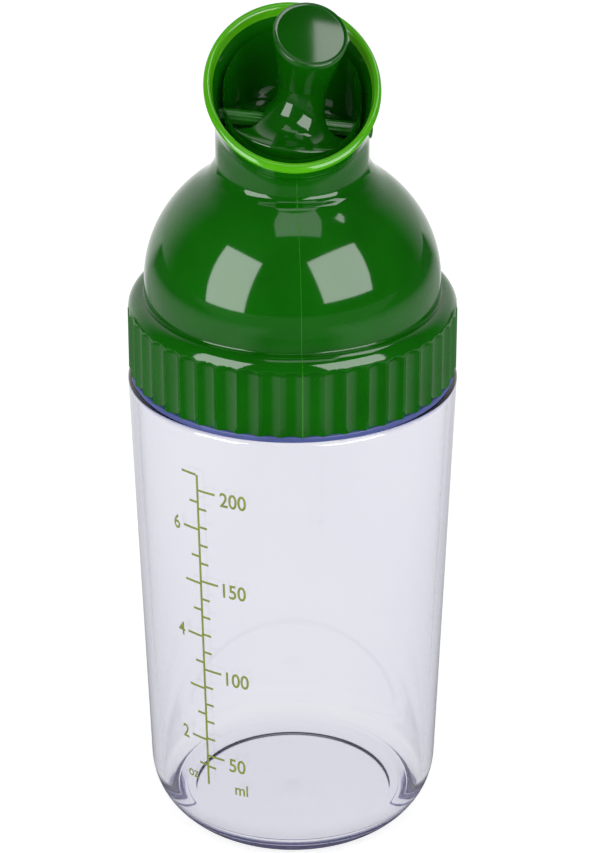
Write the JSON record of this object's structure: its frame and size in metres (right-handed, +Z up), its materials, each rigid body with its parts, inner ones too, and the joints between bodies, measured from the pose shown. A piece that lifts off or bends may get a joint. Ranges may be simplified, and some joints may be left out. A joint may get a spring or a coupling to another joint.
{
  "type": "salad dressing shaker",
  "caption": "Clear measuring bottle with a domed green screw cap, a slanted pouring spout and a tilting lever stopper.",
  "frame": {"origin": "centre of the bottle's foot, on the surface it stands on", "axes": "+Z up the bottle's axis, -Y is the front of the cap, where the spout's rim is lowest"},
  "size_m": [0.0636, 0.0636, 0.1694],
  "materials": {
    "clear_plastic": "clear, polished",
    "green_plastic": "polished",
    "pin_plastic": "polished",
    "blue_silicone": "satin",
    "pale_silicone": "satin"
  },
  "bodies": {
    "bottle": {"bottle": "clear_plastic"},
    "seal": {"shoulder_seal": "blue_silicone"},
    "cap": {"cap": "green_plastic", "pivot_pin": "pin_plastic"},
    "lever": {"lever": "green_plastic", "foot_seal": "pale_silicone"}
  },
  "joints": [
    {"name": "cap_lift", "type": "slide", "parent": "bottle", "child": "seal", "axis": [0, 0, 1], "range_m": [0, 0.008]},
    {"name": "cap_turn", "type": "hinge", "parent": "seal", "child": "cap", "pos_m": [0, 0, 0.098], "axis": [0, 0, 1], "range_deg": [0, 720]},
    {"name": "lever_tilt", "type": "hinge", "parent": "cap", "child": "lever", "pos_m": [0, 0, 0.148], "axis": [-0.9903, 0, 0.1392], "range_deg": [0, 20]}
  ],
  "couplings": [
    {"joint": "cap_lift", "follows": "cap_turn", "m_per_rad": 0.00063662}
  ]
}
